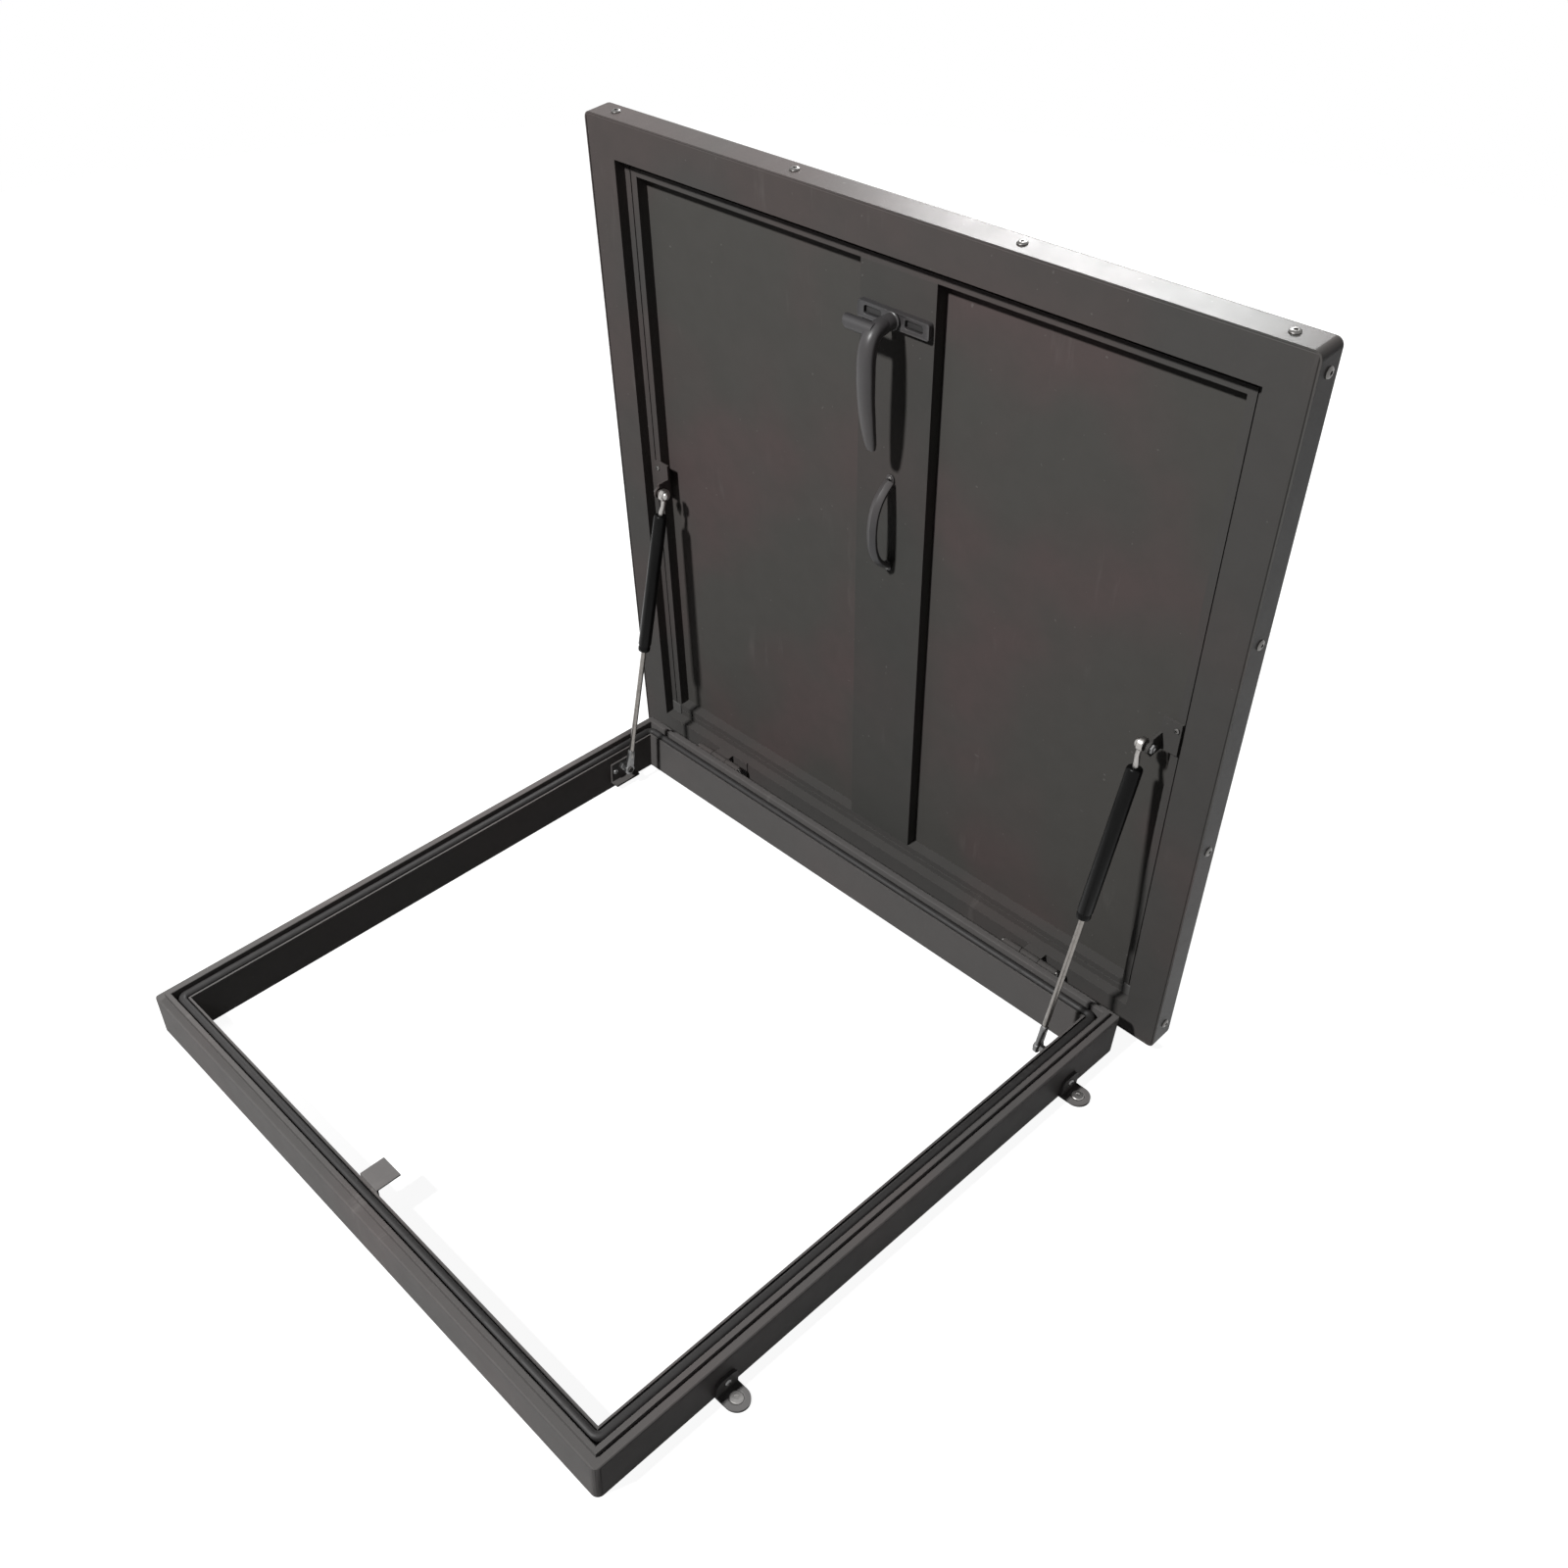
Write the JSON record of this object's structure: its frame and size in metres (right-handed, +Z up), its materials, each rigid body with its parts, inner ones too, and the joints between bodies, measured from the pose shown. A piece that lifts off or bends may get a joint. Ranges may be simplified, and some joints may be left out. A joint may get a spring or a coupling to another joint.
{
  "type": "roof hatch",
  "caption": "Square roof access hatch with a low sealed base frame and an overhanging hinged lid held open by gas struts, with a turning latch and a pull handle inside.",
  "frame": {"origin": "centre of the clear opening, on the plane that the base frame stands on", "axes": "+X along the hinge side, +Y from the latch side to the hinge side, +Z up out of the roof"},
  "size_m": [0.76, 0.7512, 0.7609],
  "materials": {
    "powder_coat": "satin anthracite powder coat",
    "handle_coat": "satin grey powder coat",
    "seal": "matte",
    "cylinder_black": "gloss black",
    "rod_chrome": "polished",
    "bright_steel": "zinc plated"
  },
  "bodies": {
    "base": {"base_front_rail": "powder_coat", "base_back_rail": "powder_coat", "base_left_rail": "powder_coat", "base_right_rail": "powder_coat", "base_seal": "seal", "latch_keeper": "powder_coat", "fixing_lug_front_left": "powder_coat", "fixing_lug_back_left": "powder_coat", "strut_foot_bracket_left": "powder_coat", "hinge_base_leaf_left": "powder_coat", "hinge_pin_left": "bright_steel", "fixing_lug_front_right": "powder_coat", "fixing_lug_back_right": "powder_coat", "strut_foot_bracket_right": "powder_coat", "hinge_base_leaf_right": "powder_coat", "hinge_pin_right": "bright_steel"},
    "lid": {"lid_front_stile": "powder_coat", "lid_back_stile": "powder_coat", "lid_left_stile": "powder_coat", "lid_right_stile": "powder_coat", "lid_cover": "powder_coat", "lid_mullion": "powder_coat", "latch_plate": "handle_coat", "pull_handle": "handle_coat", "lid_panel_left": "powder_coat", "strut_head_bracket_left": "powder_coat", "hinge_lid_leaf_left": "powder_coat", "lid_panel_right": "powder_coat", "strut_head_bracket_right": "powder_coat", "hinge_lid_leaf_right": "powder_coat"},
    "latch": {"latch_lever": "handle_coat"},
    "strut_left_rod": {"strut_rod_left": "rod_chrome", "strut_rod_eye_left": "bright_steel"},
    "strut_left_cylinder": {"strut_cylinder_left": "cylinder_black", "strut_cylinder_eye_left": "bright_steel"},
    "strut_right_rod": {"strut_rod_right": "rod_chrome", "strut_rod_eye_right": "bright_steel"},
    "strut_right_cylinder": {"strut_cylinder_right": "cylinder_black", "strut_cylinder_eye_right": "bright_steel"}
  },
  "joints": [
    {"name": "lid_hinge", "type": "hinge", "parent": "base", "child": "lid", "pos_m": [0, 0.3546, 0.0435], "axis": [-1, 0, 0], "range_deg": [-85.25, 0]},
    {"name": "latch_turn", "type": "hinge", "parent": "lid", "child": "latch", "pos_m": [0, 0.32904, 0.66512], "axis": [0, 0.9966, 0.0828], "range_deg": [0, 90]},
    {"name": "strut_left_swing", "type": "hinge", "parent": "base", "child": "strut_left_rod", "pos_m": [-0.308, 0.2735, 0.028], "axis": [-1, 0, 0], "range_deg": [-94.57, 0]},
    {"name": "strut_left_slide", "type": "slide", "parent": "strut_left_rod", "child": "strut_left_cylinder", "axis": [0, 0.1801, 0.9836], "range_m": [-0.10077, 0]},
    {"name": "strut_right_swing", "type": "hinge", "parent": "base", "child": "strut_right_rod", "pos_m": [0.308, 0.2735, 0.028], "axis": [-1, 0, 0], "range_deg": [-94.57, 0]},
    {"name": "strut_right_slide", "type": "slide", "parent": "strut_right_rod", "child": "strut_right_cylinder", "axis": [0, 0.1801, 0.9836], "range_m": [-0.10077, 0]}
  ],
  "couplings": [
    {"joint": "strut_left_swing", "follows": "lid_hinge", "ratio": 1.1094},
    {"joint": "strut_left_slide", "follows": "lid_hinge", "m_per_rad": 0.067725},
    {"joint": "strut_right_swing", "follows": "lid_hinge", "ratio": 1.1094},
    {"joint": "strut_right_slide", "follows": "lid_hinge", "m_per_rad": 0.067725}
  ]
}
